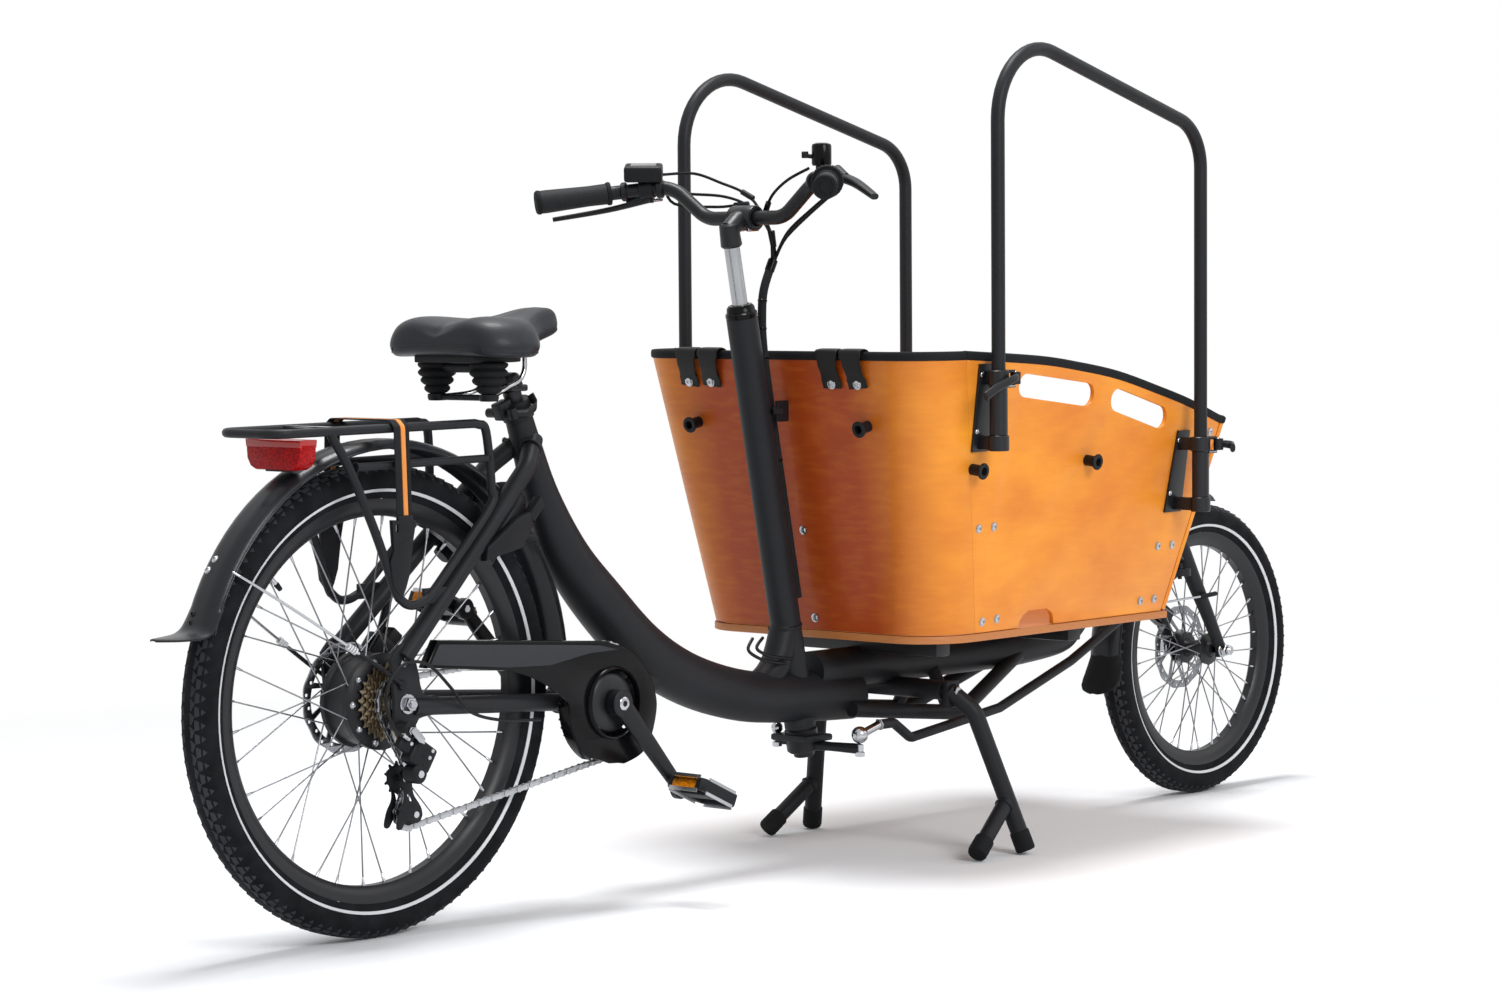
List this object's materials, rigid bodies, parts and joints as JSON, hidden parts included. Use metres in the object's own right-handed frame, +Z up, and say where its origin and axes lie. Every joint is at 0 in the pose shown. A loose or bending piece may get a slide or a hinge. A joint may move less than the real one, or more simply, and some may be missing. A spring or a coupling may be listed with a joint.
{
  "type": "electric cargo bike",
  "caption": "Front-loading electric cargo bicycle: plywood box behind a small front wheel, linkage steering, rain-cover hoops, centre stand, rear hub motor and luggage rack.",
  "frame": {"origin": "on the ground, at the middle of the bike's length and width", "axes": "+X forward along the bike, +Y to the rider's left, +Z up"},
  "size_m": [2.6234, 0.7184, 1.2835],
  "materials": {
    "frame_paint": "satin charcoal powder coat",
    "black_alloy": "black anodised",
    "bright_alloy": "brushed",
    "hub_black": "black painted hub shell",
    "tyre": "black rubber with a reflective stripe",
    "rubber": "matte black",
    "vinyl": "black vinyl over foam",
    "black_plastic": "satin black",
    "gloss_plastic": "glossy black",
    "bronze_steel": "bronze-coloured steel",
    "chain_steel": "bright steel",
    "plywood": "clear-coated honey-orange plywood",
    "red_lens": "clear red lens",
    "webbing": "elastic band"
  },
  "bodies": {
    "frame": {"main_frame": "frame_paint", "front_frame": "frame_paint", "rear_mudguard": "black_plastic", "rear_rack": "frame_paint", "tail_light": "red_lens", "rack_strap": "webbing", "ring_lock": "black_plastic", "chain_guard": "gloss_plastic", "chain": "chain_steel", "derailleur_body": "black_plastic", "box_rear_panel": "plywood", "box_side_left": "plywood", "box_side_right": "plywood", "box_front_panel": "plywood", "box_floor": "plywood", "battery_pack": "black_plastic", "hoop_bracket_rear_left": "black_alloy", "hoop_bracket_rear_right": "black_alloy", "hoop_bracket_front_left": "black_alloy", "hoop_bracket_front_right": "black_alloy"},
    "seat": {"seatpost": "black_alloy", "saddle_base": "black_plastic", "saddle_pad": "vinyl", "saddle_bellows_left": "rubber", "saddle_bellows_right": "rubber"},
    "seat_lever": {"seat_clamp_lever": "black_alloy"},
    "crank": {"chainring": "black_alloy", "crank_arm_left": "black_alloy", "crank_arm_right": "black_alloy"},
    "pedal_l": {"pedal_left": "black_plastic"},
    "pedal_r": {"pedal_right": "black_plastic"},
    "rear_wheel": {"rear_tyre": "tyre", "rear_rim": "black_alloy", "rear_hub_motor": "hub_black"},
    "sprockets": {"cassette": "bronze_steel"},
    "cage": {"derailleur_cage": "black_plastic"},
    "steering": {"steering_shaft": "black_alloy"},
    "bars": {"quill_stem": "bright_alloy", "handlebar": "black_alloy", "grip_left": "rubber", "grip_right": "rubber", "display": "black_plastic", "bell": "black_plastic", "control_cables": "rubber"},
    "brake_l": {"brake_lever_left": "black_alloy"},
    "brake_r": {"brake_lever_right": "black_alloy"},
    "shifter": {"twist_shifter": "rubber"},
    "link": {"tie_rod": "frame_paint"},
    "fork_unit": {"fork": "frame_paint", "front_mudguard": "black_plastic"},
    "front_wheel": {"front_tyre": "tyre", "front_rim": "black_alloy", "front_hub": "hub_black"},
    "hoop_l": {"hoop_left": "frame_paint"},
    "hoop_r": {"hoop_right": "frame_paint"},
    "lever_rear_l": {"hoop_lever_rear_left": "black_alloy"},
    "lever_rear_r": {"hoop_lever_rear_right": "black_alloy"},
    "lever_front_l": {"hoop_lever_front_left": "black_alloy"},
    "lever_front_r": {"hoop_lever_front_right": "black_alloy"},
    "stand": {"center_stand": "frame_paint"}
  },
  "joints": [
    {"name": "seatpost_slide", "type": "slide", "parent": "frame", "child": "seat", "axis": [-0.3503, 0, 0.9366], "range_m": [0, 0.15]},
    {"name": "seat_lever_turn", "type": "hinge", "parent": "frame", "child": "seat_lever", "pos_m": [-0.6597, -0.0215, 0.73], "axis": [0.3503, 0, -0.9366], "range_deg": [0, 150]},
    {"name": "crank_turn", "type": "hinge", "parent": "frame", "child": "crank", "pos_m": [-0.5228, 0, 0.3026], "axis": [0, 1, 0], "continuous": true},
    {"name": "pedal_right_turn", "type": "hinge", "parent": "crank", "child": "pedal_r", "pos_m": [-0.4119, -0.159, 0.1672], "axis": [0, 1, 0], "continuous": true},
    {"name": "pedal_left_turn", "type": "hinge", "parent": "crank", "child": "pedal_l", "pos_m": [-0.6336, 0.159, 0.438], "axis": [0, 1, 0], "continuous": true},
    {"name": "rear_wheel_turn", "type": "hinge", "parent": "frame", "child": "rear_wheel", "pos_m": [-0.9224, 0, 0.3345], "axis": [0, 1, 0], "continuous": true},
    {"name": "sprocket_turn", "type": "hinge", "parent": "frame", "child": "sprockets", "pos_m": [-0.9224, 0, 0.3345], "axis": [0, 1, 0], "continuous": true},
    {"name": "cage_swing", "type": "hinge", "parent": "frame", "child": "cage", "pos_m": [-0.9224, -0.05, 0.23], "axis": [0, 1, 0], "range_deg": [-20, 20], "stiffness_Nm_per_rad": 1.5, "deforming": ["chain"]},
    {"name": "steering_turn", "type": "hinge", "parent": "frame", "child": "steering", "pos_m": [-0.144, 0, 0.869], "axis": [-0.1976, 0, 0.9803], "range_deg": [-25, 25]},
    {"name": "bar_height", "type": "slide", "parent": "steering", "child": "bars", "axis": [-0.1976, 0, 0.9803], "range_m": [-0.06, 0.05], "deforming": ["control_cables"]},
    {"name": "brake_left_squeeze", "type": "hinge", "parent": "bars", "child": "brake_l", "pos_m": [-0.1563, 0.186, 1.05], "axis": [0.4699, 0.4802, 0.7407], "range_deg": [0, 7.5], "stiffness_Nm_per_rad": 2, "springref_deg": -14.32},
    {"name": "brake_right_squeeze", "type": "hinge", "parent": "bars", "child": "brake_r", "pos_m": [-0.1363, -0.19, 1.076], "axis": [-0.0845, 0.3197, -0.9437], "range_deg": [0, 14], "stiffness_Nm_per_rad": 2, "springref_deg": -14.32},
    {"name": "shifter_twist", "type": "hinge", "parent": "bars", "child": "shifter", "pos_m": [-0.2114, -0.2366, 1.0665], "axis": [-0.7764, -0.6195, -0.1156], "range_deg": [-70, 70]},
    {"name": "tie_rod_turn", "type": "hinge", "parent": "steering", "child": "link", "pos_m": [0.0156, -0.1, 0.192], "axis": [-0.1896, 0.0246, 0.9816], "range_deg": [-28, 28]},
    {"name": "fork_turn", "type": "hinge", "parent": "frame", "child": "fork_unit", "pos_m": [0.8777, 0, 0.52], "axis": [-0.4226, 0, 0.9063], "range_deg": [-24.5, 24.5]},
    {"name": "front_wheel_turn", "type": "hinge", "parent": "fork_unit", "child": "front_wheel", "pos_m": [1.0536, 0, 0.258], "axis": [0, 1, 0], "continuous": true},
    {"name": "hoop_left_slide", "type": "slide", "parent": "frame", "child": "hoop_l", "axis": [0, 0, 1], "range_m": [0, 0.13]},
    {"name": "hoop_right_slide", "type": "slide", "parent": "frame", "child": "hoop_r", "axis": [0, 0, 1], "range_m": [-0.022, 0.11]},
    {"name": "hoop_lever_rear_left_turn", "type": "hinge", "parent": "frame", "child": "lever_rear_l", "pos_m": [0.1097, 0.338, 0.7665], "axis": [0, 0, 1], "range_deg": [0, 100]},
    {"name": "hoop_lever_front_left_turn", "type": "hinge", "parent": "frame", "child": "lever_front_l", "pos_m": [0.6526, 0.334, 0.6445], "axis": [0, 0, 1], "range_deg": [0, 110]},
    {"name": "hoop_lever_rear_right_turn", "type": "hinge", "parent": "frame", "child": "lever_rear_r", "pos_m": [0.1097, -0.338, 0.7665], "axis": [0, 0, 1], "range_deg": [0, 120]},
    {"name": "hoop_lever_front_right_turn", "type": "hinge", "parent": "frame", "child": "lever_front_r", "pos_m": [0.6526, -0.334, 0.6445], "axis": [0, 0, -1], "range_deg": [0, 110]},
    {"name": "stand_swing", "type": "hinge", "parent": "frame", "child": "stand", "pos_m": [0.2026, 0, 0.262], "axis": [0, 1, 0], "range_deg": [0, 80]}
  ],
  "couplings": [
    {"joint": "sprocket_turn", "follows": "crank_turn", "ratio": 2.625},
    {"joint": "tie_rod_turn", "follows": "steering_turn", "ratio": -1.0888},
    {"joint": "fork_turn", "follows": "steering_turn", "ratio": 0.9466}
  ]
}
